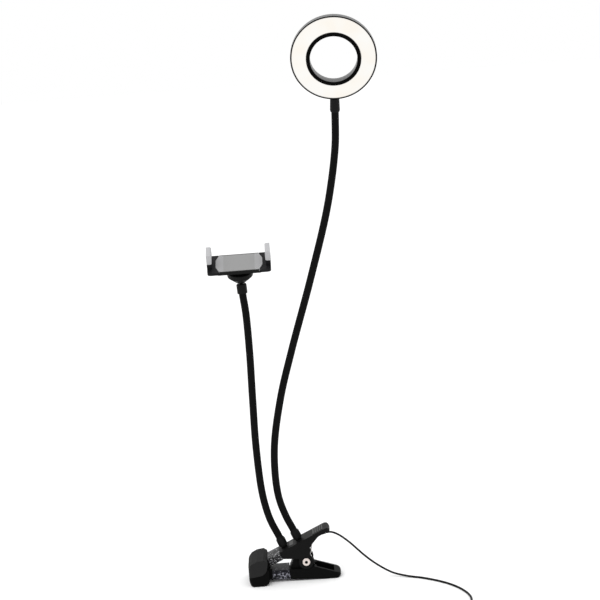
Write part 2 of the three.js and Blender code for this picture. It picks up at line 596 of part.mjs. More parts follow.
function plugBody() {
  const half = PLUG.width / 2;
  const end = PLUG.start - PLUG.length;
  const mould = prism(roundedPlan(end, PLUG.start, PLUG.y - half, PLUG.y + half, 3, 3, 3), 0.1, PLUG.height);
  return mould.add(block(end - 11.5, end + 1, PLUG.y - 5, PLUG.y + 5, 2.6, 4.3));
}

function plugShell() {
  const end = PLUG.start - PLUG.length - GAP;
  const outer = block(end - 12, end, PLUG.y - 6, PLUG.y + 6, 2, 6.5);
  return outer.subtract(block(end - 13, end + 1, PLUG.y - 5.6, PLUG.y + 5.6, 2.3, 6.2));
}

// ---------------------------------------------------------------- putting it together
add('clamp_lower_arm', lowerArm(), BLACK_PLASTIC);
add('clamp_upper_arm', upperArm(), BLACK_PLASTIC);
add('clamp_rivet', rivet(), STEEL);
add('clamp_spring', torsionSpring(), STEEL);
add('lower_jaw_nose', lowerNose(), BLACK_RUBBER);
add('upper_jaw_nose', upperNose(), SOFT_RUBBER);
add('lower_grip_band', lowerBand(), SPECKLED_GRIP);
add('upper_grip_band', upperBand(), SPECKLED_GRIP);
add('cord_strain_relief', strainRelief(), BLACK_RUBBER);
add('light_base_ferrule', baseFerrule(LIGHT_ROOT, LIGHT_AXIS), BLACK_PLASTIC);
add('phone_base_ferrule', baseFerrule(PHONE_ROOT, PHONE_AXIS), BLACK_PLASTIC);

const lightBase = LIGHT_ROOT.clone().addScaledVector(LIGHT_AXIS, BASE_FERRULE);
const lightCurve = new THREE.CatmullRomCurve3([
  lightBase, V(-18.9, 0, 72), V(-25.4, 0, 97), V(-25.5, 0, 147), V(-14.6, 0, 203), V(1.7, 0, 256), V(28, 0, 333),
  V(51.8, 1, 410), V(64, 3.6, 470), neckPoint(NECK_END + 9), neckPoint(NECK_END), neckPoint(NECK_END - NECK_GRIP),
]);
gooseneck('light', lightCurve, [0, 0.25, 0.5, 0.75, 1]);

const phoneBase = PHONE_ROOT.clone().addScaledVector(PHONE_AXIS, BASE_FERRULE);
const phoneCurve = new THREE.CatmullRomCurve3([
  phoneBase, V(-36.3, 0, 69), V(-42.2, 0, 97), V(-45.1, 0, 150), V(-44.6, 0, 205), V(-43.7, 0, 258),
  V(-44.3, 0, 300), studPoint(PHONE_FERRULE[0] - 2), studPoint(PHONE_FERRULE[0] + 4.7),
]);
gooseneck('phone', phoneCurve, [0, 0.33, 0.66, 1]);

add('light_neck_ferrule', neckFerrule(), BLACK_PLASTIC, ringHead);
add('ring_rear_shell', rearShell(), BLACK_PLASTIC, ringHead);
add('ring_inner_bezel', innerBezel(), BLACK_PLASTIC, ringHead);
add('ring_diffuser', diffuser(), DIFFUSER, ringHead);
add('ring_reflector', reflectorWall(), WHITE_PLASTIC, ringHead);
add('ring_led_board', ledBoard(), BOARD, ringHead);
screwPlaces.forEach((angle, i) => add(`ring_screw_${i + 1}`, ringScrew(angle), STEEL, ringHead));

add('phone_neck_ferrule', phoneFerrule(), BLACK_PLASTIC);
add('ball_stud', ballStud(), STEEL);
add('holder_back', holderBack(), BLACK_PLASTIC, holder);
add('holder_front_pad', frontPad(), GREY_PAD, holder);
add('ball_lock_nut', lockNut(), BLACK_PLASTIC, holder);
add('holder_right_jaw', jaw(1), BLACK_PLASTIC, holder);
add('holder_left_jaw', jaw(-1), BLACK_PLASTIC, holder);
add('holder_right_pad', jawPad(1), PALE_RUBBER, holder);
add('holder_left_pad', jawPad(-1), PALE_RUBBER, holder);
add('holder_spring', jawSpring(), STEEL, holder);

add('cord_lead', cordTube(leadRoute, 50), BLACK_RUBBER);
add('cord_to_coil', cordTube(intoCoil, 12), BLACK_RUBBER);
add('cord_coil', coil(), BLACK_RUBBER);
add('cord_to_plug', cordTube(outOfCoil, 8), BLACK_RUBBER);
add('remote_base', remoteBase(), BLACK_PLASTIC);
add('remote_board', remoteBoard(), BOARD);
add('remote_cover', remoteCover(), BLACK_PLASTIC);
['power_button', 'brighter_button', 'dimmer_button'].forEach((name, i) => add(name, button(BUTTONS[i]), GREY_PAD));
add('plug_body', plugBody(), BLACK_PLASTIC);
add('plug_shell', plugShell(), STEEL);

export default object;
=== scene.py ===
"""A clip-on ring light with a phone holder, dressed around its CAD frame.

Metres, +Z up; the ring shines towards -Y.
"""

import itertools
import json
import math

import bmesh
import bpy
from mathutils import Euler, Matrix, Vector


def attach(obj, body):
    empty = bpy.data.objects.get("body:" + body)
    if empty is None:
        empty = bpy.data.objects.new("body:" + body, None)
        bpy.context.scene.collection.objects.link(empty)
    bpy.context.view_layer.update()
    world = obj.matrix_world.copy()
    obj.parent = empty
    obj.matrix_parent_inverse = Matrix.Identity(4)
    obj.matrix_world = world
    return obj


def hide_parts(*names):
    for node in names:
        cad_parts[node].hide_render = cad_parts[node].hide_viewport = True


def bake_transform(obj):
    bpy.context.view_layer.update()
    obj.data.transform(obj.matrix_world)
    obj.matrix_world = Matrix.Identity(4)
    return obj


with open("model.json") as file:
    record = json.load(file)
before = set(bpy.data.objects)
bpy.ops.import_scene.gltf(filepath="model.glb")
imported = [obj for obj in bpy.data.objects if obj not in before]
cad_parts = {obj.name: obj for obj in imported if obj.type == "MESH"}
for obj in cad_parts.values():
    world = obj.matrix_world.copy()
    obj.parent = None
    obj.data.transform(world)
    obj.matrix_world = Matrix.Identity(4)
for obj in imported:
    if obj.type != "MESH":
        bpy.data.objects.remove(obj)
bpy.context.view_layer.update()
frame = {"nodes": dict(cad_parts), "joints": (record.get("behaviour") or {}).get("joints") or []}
NODES = frame["nodes"]
HINGE = {j["name"]: Vector(j["pos_m"]) for j in frame["joints"] if "pos_m" in j}
MM = 0.001
PIN_Z = 21  # height of the clamp's pin, in millimetres
PIN = Vector((HINGE["clamp_hinge"].x, HINGE["clamp_hinge"].y, 0))  # under the clamp's pin, on the floor


def from_pin(x, y, z):
    """A point given in millimetres from the foot of the clamp's pin."""
    return PIN + Vector((x, y, z)) * MM


# ---------------------------------------------------------------- camera
CAMERA_PLACE = from_pin(14.8, -1761.9, 620.9)
LOOK_DOWN = math.radians(10)
ROLL = math.radians(4.35)

camera = bpy.data.objects.new("camera", bpy.data.cameras.new("camera"))
bpy.context.scene.collection.objects.link(camera)
camera.data.lens = 100
camera.data.sensor_width = 36
camera.data.clip_start = 0.05
camera.data.clip_end = 50
forward = Vector((0, math.cos(LOOK_DOWN), -math.sin(LOOK_DOWN)))
level_up = Vector((0, math.sin(LOOK_DOWN), math.cos(LOOK_DOWN)))
side = Vector((math.cos(ROLL), 0, 0)) - math.sin(ROLL) * level_up
above = Vector((math.sin(ROLL), 0, 0)) + math.cos(ROLL) * level_up
camera.matrix_world = Matrix.Translation(CAMERA_PLACE) @ Matrix((side, above, -forward)).transposed().to_4x4()
bpy.context.scene.camera = camera


# ---------------------------------------------------------------- mesh helpers
def link(name, bm, material, smooth=35):
    mesh = bpy.data.meshes.new(name)
    bm.to_mesh(mesh)
    bm.free()
    obj = bpy.data.objects.new(name, mesh)
    bpy.context.scene.collection.objects.link(obj)
    mesh.materials.append(material)
    shade(obj, smooth)
    return obj


def shade(obj, smooth=35):
    """Smooth shading, with edges sharper than this many degrees left sharp."""
    mesh = obj.data
    mesh.polygons.foreach_set("use_smooth", [True] * len(mesh.polygons))
    bm = bmesh.new()
    bm.from_mesh(mesh)
    for edge in bm.edges:
        edge.smooth = len(edge.link_faces) == 2 and edge.calc_face_angle(0) < math.radians(smooth)
    bm.to_mesh(mesh)
    bm.free()


def bevel(obj, width, segments=2, angle=30):
    modifier = obj.modifiers.new("bevel", "BEVEL")
    modifier.width = width
    modifier.segments = segments
    modifier.limit_method = "ANGLE"
    modifier.angle_limit = math.radians(angle)
    modifier.use_clamp_overlap = True
    modifier.harden_normals = False
    return modifier


def lathe(name, profile, place, material, segments=96, smooth=35):
    """A closed ring of (radius, height) points, in millimetres, turned about the Z of `place`, a matrix."""
    bm = bmesh.new()
    rings = []
    for r, h in profile:
        if r == 0:
            rings.append([bm.verts.new(place @ Vector((0, 0, h * MM)))] * segments)
            continue
        turn = [2 * math.pi * i / segments for i in range(segments)]
        corners = [Vector((r * math.cos(a), r * math.sin(a), h)) * MM for a in turn]
        rings.append([bm.verts.new(place @ corner) for corner in corners])
    closed = profile[0][0] != 0
    pairs = list(zip(rings, rings[1:])) + ([(rings[-1], rings[0])] if closed else [])
    for low, high in pairs:
        for i in range(segments):
            j = (i + 1) % segments
            corners = [low[i], low[j], high[j], high[i]]
            corners = [v for k, v in enumerate(corners) if v not in corners[:k]]
            if len(corners) > 2:
                bm.faces.new(corners)
    bmesh.ops.recalc_face_normals(bm, faces=bm.faces)
    return link(name, bm, material, smooth)


def frames_along(points):
    """A matrix at each point of a path, its Z along the path, without twisting."""
    tangents = [(b - a).normalized() for a, b in zip(points, points[1:])]
    tangents = [tangents[0]] + [(a + b).normalized() for a, b in zip(tangents, tangents[1:])] + [tangents[-1]]
    normal = Vector((0, 1, 0))
    result = []
    for point, tangent in zip(points, tangents):
        normal = (normal - tangent * normal.dot(tangent)).normalized()
        m = Matrix((tangent.cross(normal) * -1, normal, tangent)).transposed().to_4x4()
        result.append(Matrix.Translation(point) @ m)
    return result


def tube(name, points, radii, material, sides=24, smooth=60):
    """A tube along a path; radii is one radius or one for each point, in metres."""
    radii = radii if isinstance(radii, (list, tuple)) else [radii] * len(points)
    bm = bmesh.new()
    rings = []
    for m, r in zip(frames_along(points), radii):
        turn = [2 * math.pi * i / sides for i in range(sides)]
        rings.append([bm.verts.new(m @ Vector((r * math.cos(a), r * math.sin(a), 0))) for a in turn])
    for low, high in zip(rings, rings[1:]):
        for i in range(sides):
            j = (i + 1) % sides
            bm.faces.new((low[i], low[j], high[j], high[i]))
    bm.faces.new(rings[0])
    bm.faces.new(rings[-1])
    bmesh.ops.recalc_face_normals(bm, faces=bm.faces)
    return link(name, bm, material, smooth)


def catmull_rom(points, steps):
    """Points along a centripetal Catmull-Rom spline, the same number of steps in every span."""
    pts = [2 * points[0] - points[1]] + list(points) + [2 * points[-1] - points[-2]]
    result = []
    for p0, p1, p2, p3 in zip(pts, pts[1:], pts[2:], pts[3:]):
        d0, d1, d2 = ((b - a).length ** 0.5 for a, b in ((p0, p1), (p1, p2), (p2, p3)))
        t1 = ((p1 - p0) / d0 - (p2 - p0) / (d0 + d1) + (p2 - p1) / d1) * d1
        t2 = ((p2 - p1) / d1 - (p3 - p1) / (d1 + d2) + (p3 - p2) / d2) * d1
        for i in range(steps):
            t = i / steps
            a, b = 2 * p1 - 2 * p2 + t1 + t2, -3 * p1 + 3 * p2 - 2 * t1 - t2
            result.append(p1 + t1 * t + b * t * t + a * t**3)
    return result + [points[-1]]


def evenly(points, step):
    """The same path with points a fixed distance apart."""
    lengths = [0]
    for a, b in zip(points, points[1:]):
        lengths.append(lengths[-1] + (b - a).length)
    count = max(2, round(lengths[-1] / step))
    result, k = [], 0
    for i in range(count + 1):
        s = lengths[-1] * i / count
        while k < len(lengths) - 2 and lengths[k + 1] < s:
            k += 1
        share = (s - lengths[k]) / (lengths[k + 1] - lengths[k])
        result.append(points[k].lerp(points[k + 1], share))
    return result


# ---------------------------------------------------------------- materials
def material(name, color, roughness, metallic=0.0, specular=0.5, grain=None, coat=0.0):
    """A plain surface; grain is (scale, strength) of a fine bump."""
    m = bpy.data.materials.new(name)
    m.use_nodes = True
    shader = m.node_tree.nodes["Principled BSDF"]
    shader.inputs["Base Color"].default_value = (*color, 1)
    shader.inputs["Roughness"].default_value = roughness
    shader.inputs["Metallic"].default_value = metallic
    shader.inputs["Specular IOR Level"].default_value = specular
    shader.inputs["Coat Weight"].default_value = coat
    if grain:
        nodes, links = m.node_tree.nodes, m.node_tree.links
        noise = nodes.new("ShaderNodeTexNoise")
        noise.inputs["Scale"].default_value = grain[0]
        noise.inputs["Detail"].default_value = 4
        where = nodes.new("ShaderNodeTexCoord")
        links.new(where.outputs["Object"], noise.inputs["Vector"])
        bump = nodes.new("ShaderNodeBump")
        bump.inputs["Strength"].default_value = grain[1]
        bump.inputs["Distance"].default_value = 0.0002
        links.new(noise.outputs["Fac"], bump.inputs["Height"])
        links.new(bump.outputs["Normal"], shader.inputs["Normal"])
    return m


def speckled(name, base, flecks, scale, level, fade=None):
    """A dark sleeve with a random pattern of bright flecks, painted highlights standing in for glints off a
    hammered surface; fade is a height above which they die out, painted shade.
    """
    m = material(name, base, 0.45, specular=0.15)
    nodes, links = m.node_tree.nodes, m.node_tree.links
    where = nodes.new("ShaderNodeTexCoord")
    stretch = nodes.new("ShaderNodeMapping")
    stretch.inputs["Scale"].default_value = (1, 0.6, 1.5)
    stretch.inputs["Rotation"].default_value = (0, 0.6, 0)
    noise = nodes.new("ShaderNodeTexNoise")
    noise.inputs["Scale"].default_value = scale
    noise.inputs["Detail"].default_value = 5
    noise.inputs["Roughness"].default_value = 0.65
    ramp = nodes.new("ShaderNodeValToRGB")
    ramp.color_ramp.elements[0].position = level - 0.05
    ramp.color_ramp.elements[0].color = (*base, 1)
    ramp.color_ramp.elements[1].position = level + 0.07
    ramp.color_ramp.elements[1].color = (*flecks, 1)
    links.new(where.outputs["Object"], stretch.inputs["Vector"])
    links.new(stretch.outputs["Vector"], noise.inputs["Vector"])
    amount = noise.outputs["Fac"]
    # painted shade: above the fade height the flecks die out
    if fade:
        axes = nodes.new("ShaderNodeSeparateXYZ")
        links.new(where.outputs["Object"], axes.inputs[0])
        above = nodes.new("ShaderNodeMapRange")
        above.inputs["From Min"].default_value = fade - 0.001
        above.inputs["From Max"].default_value = fade + 0.002
        above.inputs["To Min"].default_value = 0
        above.inputs["To Max"].default_value = 0.1
        links.new(axes.outputs["Z"], above.inputs["Value"])
        less = nodes.new("ShaderNodeMath")
        less.operation = "SUBTRACT"
        links.new(amount, less.inputs[0])
        links.new(above.outputs["Result"], less.inputs[1])
        amount = less.outputs[0]
    links.new(amount, ramp.inputs["Fac"])
    links.new(ramp.outputs["Color"], nodes["Principled BSDF"].inputs["Base Color"])
    return m


def hatched(name, plain, lines):
    """A soft pad with a diamond hatching in a lighter colour over its two ends and a plain middle."""
    m = material(name, plain, 0.65, specular=0.2)
    nodes, links = m.node_tree.nodes, m.node_tree.links
    where = nodes.new("ShaderNodeTexCoord")
    apart = nodes.new("ShaderNodeVectorMath")
    apart.operation = "SUBTRACT"
    apart.inputs[1].default_value = HINGE["holder_tilt"]
    links.new(where.outputs["Object"], apart.inputs[0])
    axes = nodes.new("ShaderNodeSeparateXYZ")
    links.new(apart.outputs[0], axes.inputs[0])

    def math_node(operation, *values):
        node = nodes.new("ShaderNodeMath")
        node.operation = operation
        for socket, value in zip(node.inputs, values):
            if isinstance(value, (int, float)):
                socket.default_value = value
            else:
                links.new(value, socket)
        return node.outputs[0]

    def ridge(along):
        return math_node("ABSOLUTE", math_node("SINE", math_node("MULTIPLY", along, 1000)))

    up = math_node("MULTIPLY", axes.outputs["Z"], 2.2)
    one = ridge(math_node("ADD", axes.outputs["X"], up))
    other = ridge(math_node("SUBTRACT", axes.outputs["X"], up))
    crossing = math_node("MAXIMUM", one, other)
    end = math_node("MULTIPLY", math_node("SUBTRACT", math_node("ABSOLUTE", axes.outputs["X"]), 0.0145), 400)
    amount = math_node("MULTIPLY", crossing, math_node("MAXIMUM", math_node("MINIMUM", end, 1), 0))
    ramp = nodes.new("ShaderNodeValToRGB")
    ramp.color_ramp.elements[0].position = 0.75
    ramp.color_ramp.elements[0].color = (*plain, 1)
    ramp.color_ramp.elements[1].position = 1
    ramp.color_ramp.elements[1].color = (*lines, 1)
    links.new(amount, ramp.inputs["Fac"])
    links.new(ramp.outputs["Color"], nodes["Principled BSDF"].inputs["Base Color"])
    return m


BLACK = material("black plastic", (0.004, 0.004, 0.004), 0.5, specular=0.1, grain=(900, 0.15))
HANDLE = material("handle plastic", (0.0035, 0.0035, 0.0035), 0.5, specular=0.09, grain=(900, 0.2))
# lighter and glossier than the handle: painted highlight on the thumb ribs
RIB_HIGHLIGHT = material("thumb ribs", (0.02, 0.02, 0.02), 0.4, specular=0.25)
# lighter and glossier than the handle: painted light in a recess on the arm's top
LIT_PATCH = material("painted light patch", (0.012, 0.012, 0.012), 0.35, specular=0.15)
# darker and duller than the handle plastic: painted shade under the upper arm
LOWER_ARM_SHADE = material("lower arm", (0.002, 0.002, 0.002), 0.55, specular=0.06, grain=(900, 0.2))
# near black and dull: painted shade on the ring's forward faces and in the rivet's hole
SHADE_BLACK = material("painted shade black", (0.001, 0.001, 0.001), 0.5, specular=0.03)
CHARCOAL = material("charcoal rubber", (0.017, 0.017, 0.017), 0.85, specular=0.1, grain=(1200, 0.25))
RUBBER = material("black rubber", (0.002, 0.002, 0.002), 0.7, specular=0.05, grain=(1200, 0.25))
SLEEVE = material("neck sleeve", (0.002, 0.002, 0.002), 0.6, specular=0.07, grain=(1500, 0.2))
CASING = material("ring casing", (0.035, 0.035, 0.035), 0.3, specular=1.0)
STEEL = material("steel", (0.75, 0.73, 0.71), 0.25, metallic=1)
RIVET = material("rivet", (0.72, 0.64, 0.6), 0.35, metallic=0.7)
# bright flecks: painted highlights on the hammered upper grip band
SPECKLED_GLINTS = speckled("speckled grip", (0.006, 0.006, 0.007), (0.36, 0.36, 0.37), 430, 0.58)
# painted highlights that die out above a fixed height: painted shade under the upper jaw
SPECKLED_GLINTS_SHADED = speckled("speckled grip, lower", (0.003, 0.003, 0.006), (0.42, 0.42, 0.49), 430, 0.55, 0.0098)
WHITE = material("white plastic", (0.85, 0.85, 0.83), 0.4)
BOARD = material("circuit board", (0.8, 0.8, 0.77), 0.5)
GREY_PAD = material("grey pad", (0.27, 0.27, 0.27), 0.65, specular=0.2, grain=(900, 0.3))
PHONE_PAD = hatched("phone pad", (0.26, 0.26, 0.26), (0.36, 0.36, 0.37))
JAW = material("jaw plastic", (0.008, 0.008, 0.009), 0.45, specular=0.09)
PALE_RUBBER = material("pale rubber", (0.42, 0.42, 0.43), 0.7, specular=0.2, grain=(1200, 0.3))
CORD = material("cord", (0.004, 0.004, 0.004), 0.5, specular=0.1)
FLOOR = material("floor", (0.93, 0.93, 0.93), 0.95, specular=0.0)

# ---------------------------------------------------------------- ring frame
RING_PLACE = (
    Matrix.Translation(from_pin(68.3, -24, 564.5))
    @ Matrix.Rotation(math.radians(2), 4, "Y")
    @ Matrix.Rotation(math.radians(17), 4, "X")
    @ Matrix.Rotation(math.radians(-2), 4, "Z")
)
RING_AXIS = RING_PLACE @ Matrix.Rotation(math.radians(-90), 4, "X")  # Z runs from the front face to the back
RING_MID = 5.2
NECK_END = 60
NECK_GRIP = 7


def neck_point(h):
    """A point on the axis of the ring's neck, h millimetres below its centre."""
    return RING_PLACE @ (Vector((0, RING_MID, -h)) * MM)


# ---------------------------------------------------------------- cord
CORD_R = 0.0011
STEP = 0.003  # between a path's points, on the cord's first length and the necks
LEAD_ROUTE = [
    (29.5, 0, 49.3), (36.5, -1, 46.5), (43.5, -2.4, 41.6), (51, -4.4, 35.2), (58, -7, 28.5), (65, -10, 22.2),
    (77.5, -14.6, 12.9), (93, -20, 4.6), (109, -26.5, 1.5), (126, -36, 1.2), (148, -56, 1.2),
    (162, -78, 1.2), (169, -102, 1.2), (167, -125, 1.2), (160, -140, 1.2), (153, -148, 1.7), (147, -150, 2.4),
    (144.3, -150, 2.5),
]
BOOT_START = Vector((9.6, 0, 46.6))
BOOT_AXIS = Vector((1, 0, 0.17)).normalized()
BOOT_LENGTH = 14.2


def boot_point(s):
    return from_pin(*(BOOT_START + BOOT_AXIS * s))


lead_start = [boot_point(BOOT_LENGTH + 0.3), boot_point(BOOT_LENGTH + 2.5)]
lead_points = evenly(catmull_rom(lead_start + [from_pin(*p) for p in LEAD_ROUTE], 12), STEP)
lead = tube("cord_lead_skin", lead_points, CORD_R, CORD, sides=12)
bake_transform(lead)
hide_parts("cord_lead")

INTO_COIL = [
    (83.7, -150, 2.5), (81, -150, 2.4), (76, -149, 1.6), (70.5, -146.5, 1.2), (65, -142.3, 1.2),
]
OUT_OF_COIL = [
    (38.6, -137.2, 6.6), (34, -141, 4.5), (29, -146, 2.5), (25, -149, 2.9), (22.5, -150, 4.1),
    (20.3, -150, 4.2),
]
COIL_CENTRE = (50, -151)
COIL_OUTER = 16.3
COIL_PITCH = 2.25
COIL_START = 58  # degrees round the coil
COIL_TURNS = 14.12
COIL_LAYERS = 4
POINTS_PER_TURN = 28
CLIMB = 0.14  # the last share of a layer, over which the cord climbs to the next
TAIL_STEP = 0.0028


def coil_points():
    """Flat spirals one on another, in and out by turns, anticlockwise from above."""
    count = round(COIL_TURNS * POINTS_PER_TURN)
    per_layer = COIL_TURNS / COIL_LAYERS
    result = []
    for i in range(count + 1):
        turn = COIL_TURNS * i / count
        layer, along = divmod(min(turn, COIL_TURNS - 1e-6) / per_layer, 1)
        inward = along if layer % 2 == 0 else 1 - along
        radius = COIL_OUTER - inward * (per_layer * COIL_PITCH - 1)
        rise = layer + max(0, (along - (1 - CLIMB)) / CLIMB) * (layer < COIL_LAYERS - 1)
        angle = math.radians(COIL_START) + 2 * math.pi * turn
        place = (COIL_CENTRE[0] + radius * math.cos(angle), COIL_CENTRE[1] + radius * math.sin(angle))
        result.append(from_pin(*place, 1.2 + rise * COIL_PITCH))
    return result


into_coil = [from_pin(*p) for p in INTO_COIL]
out_of_coil = [from_pin(*p) for p in OUT_OF_COIL]
tail_points = evenly(catmull_rom(into_coil + coil_points() + out_of_coil, 3), TAIL_STEP)
tail = tube("cord_tail_skin", tail_points, CORD_R, CORD, sides=10)
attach(tail, "stand")
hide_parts("cord_coil", "cord_to_coil", "cord_to_plug")

# ---------------------------------------------------------------- goosenecks
NECK_R = 0.004
LIGHT_ROUTE = [
    (-18.9, 0, 72), (-25.4, 0, 97), (-25.5, 0, 147), (-14.6, 0, 203), (1.7, 0, 256), (28, 0, 333),
    (51.8, 1, 410), (64, 3.6, 470),
]
PHONE_ROUTE = [
    (-36.3, 0, 69), (-42.2, 0, 97), (-45.1, 0, 150), (-44.6, 0, 205), (-43.7, 0, 258), (-44.3, 0, 300),
    (-45.991, 0, 320.325), (-46.326, 0, 327.017),
]


def nearest(points, place):
    return min(range(len(points)), key=lambda i: (points[i] - place).length)


def neck(name, points, hinges, nodes):
    """A smooth sleeve in pieces that meet in the middle of each link, each spanning one hinge."""
    at = [nearest(points, HINGE[h]) for h in hinges] + [len(points) - 1]
    middles = [0] + [(a + b) // 2 for a, b in zip(at, at[1:])]
    middles[-1] = len(points) - 1
    for i, hinge in enumerate(hinges):
        first, last = middles[i], middles[i + 1]
        piece = tube(f"{name}_{i + 1}", points[first : last + 1], NECK_R, SLEEVE, sides=28)
        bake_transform(piece)
        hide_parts(nodes[i])


light_points = evenly(
    catmull_rom(
        [HINGE["light_bend_1"]]
        + [from_pin(*p) for p in LIGHT_ROUTE]
        + [neck_point(NECK_END + 9), neck_point(NECK_END), neck_point(NECK_END - NECK_GRIP)],
        40,
    ),
    STEP,
)
neck(
    "light_neck",
    light_points,
    [f"light_bend_{i}" for i in (1, 2, 3, 4)],
    [f"light_sleeve_{i}" for i in (1, 2, 3, 4)],
)
phone_points = evenly(catmull_rom([HINGE["phone_bend_1"]] + [from_pin(*p) for p in PHONE_ROUTE], 40), STEP)
neck(
    "phone_neck",
    phone_points,
    [f"phone_bend_{i}" for i in (1, 2, 3)],
    [f"phone_sleeve_{i}" for i in (1, 2, 3)],
)

# ---------------------------------------------------------------- ring
def glow(name):
    """The lit diffuser: near white, with soft warm and cool patches from the two colours of LED behind it."""
    m = bpy.data.materials.new(name)
    m.use_nodes = True
    nodes, links = m.node_tree.nodes, m.node_tree.links
    shader = nodes["Principled BSDF"]
    shader.inputs["Base Color"].default_value = (0.08, 0.075, 0.065, 1)
    shader.inputs["Specular IOR Level"].default_value = 0.1
    shader.inputs["Roughness"].default_value = 0.6
    where = nodes.new("ShaderNodeTexCoord")
    noise = nodes.new("ShaderNodeTexNoise")
    noise.inputs["Scale"].default_value = 55
    noise.inputs["Detail"].default_value = 1
    ramp = nodes.new("ShaderNodeValToRGB")
    stops = ramp.color_ramp.elements
    stops[0].position = 0.36
    stops[0].color = (1.0, 0.99, 0.965, 1)
    stops[1].position = 0.66
    stops[1].color = (1.0, 0.955, 0.89, 1)
    links.new(where.outputs["Object"], noise.inputs["Vector"])
    links.new(noise.outputs["Fac"], ramp.inputs["Fac"])
    links.new(ramp.outputs["Color"], shader.inputs["Emission Color"])
    shader.inputs["Emission Strength"].default_value = 0.88
    return m


DIFFUSER = glow("lit diffuser")
SHELL = [
    (45, 0.6), (45, 7.4), (44.75, 8.6), (44.0, 9.6), (43.0, 10.2), (41.8, 10.5), (27.4, 10.5), (26.2, 10.2),
    (25.2, 9.5), (24.7, 8.6), (24.6, 7.6), (24.6, 2.8), (26, 2.8), (26, 9), (43.7, 9), (43.7, 0.3),
    (44, 0), (44.6, 0.1),
]


def paint_front_shade(obj, finish):
    """Paint shade on what looks forwards, out of the ring's face, by giving it a darker, duller finish."""
    out = (RING_PLACE.to_3x3() @ Vector((0, -1, 0))).normalized()
    obj.data.materials.append(finish)
    for polygon in obj.data.polygons:
        # forward faces take the darker finish: painted shade
        polygon.material_index = int(polygon.normal.dot(out) > 0.3)


shell = lathe("ring_casing", SHELL, RING_AXIS, CASING, 128, 30)
# the casing's forward faces get painted shade
paint_front_shade(shell, SHADE_BLACK)
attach(shell, "ring_head")
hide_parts("ring_rear_shell")
COLLAR = [
    (24.6, -3.2), (24.75, -3.6), (25.2, -3.8), (28, -3.8), (28.45, -3.6), (28.6, -3.2), (28.6, 2.5),
    (24.6, 2.5),
]
collar = lathe("ring_collar", COLLAR, RING_AXIS, CASING, 128, 30)
# the collar's forward faces get painted shade
paint_front_shade(collar, SHADE_BLACK)
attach(collar, "ring_head")
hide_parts("ring_inner_bezel")
LENS = [
    (28.9, -2.9), (30, -2.8), (31.5, -2.6), (33.5, -2.2), (35.5, -1.8), (37.5, -1.3), (39.5, -0.7), (41.5, 0),
    (43.4, 0.8), (43.4, 2.6), (28.9, 2.6),
]
lens = lathe("ring_lens", LENS, RING_AXIS, DIFFUSER, 128, 40)
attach(lens, "ring_head")
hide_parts("ring_diffuser")

# ---------------------------------------------------------------- rivet's hollow, filled with a black plug: painted shade
RIVET_PLACE = Matrix.Translation(from_pin(0, 0, PIN_Z)) @ Matrix.Rotation(math.radians(-90), 4, "X")
HOLLOW_SHADE = [
    (0, -13.32), (1.7, -13.32), (1.7, -13.3), (1.28, -13.3), (1.28, 13.3), (1.7, 13.3), (1.7, 13.32),
    (0, 13.32),
]
# a near-black plug with thin end caps stands in for the shade inside the rivet's hole
hollow = lathe("rivet_hollow_shade", HOLLOW_SHADE, RIVET_PLACE, SHADE_BLACK, 32, 30)
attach(hollow, "stand")

# ---------------------------------------------------------------- torsion spring
# One leg lies against the lower arm and the other against the upper arm, with the turns between them.
SPRING_R = 5.7
SPRING_TURNS = 4
PER_TURN = 10
SPRING_HALF = 3.9
WIRE_R = 0.00085
coil = []
for i in range(SPRING_TURNS * PER_TURN + 1):
    angle = -math.pi / 2 + 0.35 - i / PER_TURN * 2 * math.pi * (SPRING_TURNS - 0.3) / SPRING_TURNS
    y = SPRING_HALF * (2 * i / (SPRING_TURNS * PER_TURN) - 1)
    coil.append((SPRING_R * math.cos(angle), y, PIN_Z + SPRING_R * math.sin(angle)))
lower_leg = [(26, -SPRING_HALF, 4.4), (14, -SPRING_HALF, 7.6), (5, -SPRING_HALF, 13.9)]
upper_leg = [(7.6, SPRING_HALF, 37), (10.2, SPRING_HALF, 43.6)]
spring_points = catmull_rom([from_pin(*p) for p in lower_leg + coil + upper_leg], 3)
spring = tube("torsion_spring", spring_points, WIRE_R, STEEL, sides=10)
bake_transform(spring)
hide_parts("clamp_spring")

# ---------------------------------------------------------------- CAD pieces shown as they are
# For each node its finish and the width of its bevel, in millimetres.
FINISH = {
    "clamp_lower_arm": (LOWER_ARM_SHADE, 0.45), "clamp_upper_arm": (HANDLE, 0.45), "clamp_rivet": (RIVET, 0.15),
    "lower_jaw_nose": (RUBBER, 1.2), "upper_jaw_nose": (CHARCOAL, 1.2),
    "lower_grip_band": (SPECKLED_GLINTS_SHADED, 0.8), "upper_grip_band": (SPECKLED_GLINTS, 0.8),
    "cord_strain_relief": (RUBBER, 0.2),
    "light_base_ferrule": (BLACK, 0.3), "phone_base_ferrule": (BLACK, 0.3),
    "light_neck_ferrule": (BLACK, 0.3),
    "phone_neck_ferrule": (BLACK, 0.3), "ring_reflector": (WHITE, 0), "ring_led_board": (BOARD, 0),
    "ball_stud": (BLACK, 0), "holder_back": (BLACK, 0.1), "holder_front_pad": (PHONE_PAD, 0.1),
    "ball_lock_nut": (BLACK, 0.4), "holder_right_jaw": (JAW, 0.12), "holder_left_jaw": (JAW, 0.12),
    "holder_right_pad": (PALE_RUBBER, 1.2), "holder_left_pad": (PALE_RUBBER, 1.2),
    "holder_spring": (STEEL, 0),
    "remote_base": (BLACK, 0.4), "remote_cover": (BLACK, 0.4), "remote_board": (BOARD, 0),
    "power_button": (GREY_PAD, 0.2), "brighter_button": (GREY_PAD, 0.2), "dimmer_button": (GREY_PAD, 0.2),
    "plug_body": (BLACK, 0.5), "plug_shell": (STEEL, 0.1),
}
CRISP = 32  # degrees; sharper edges of CAD nodes stay sharp


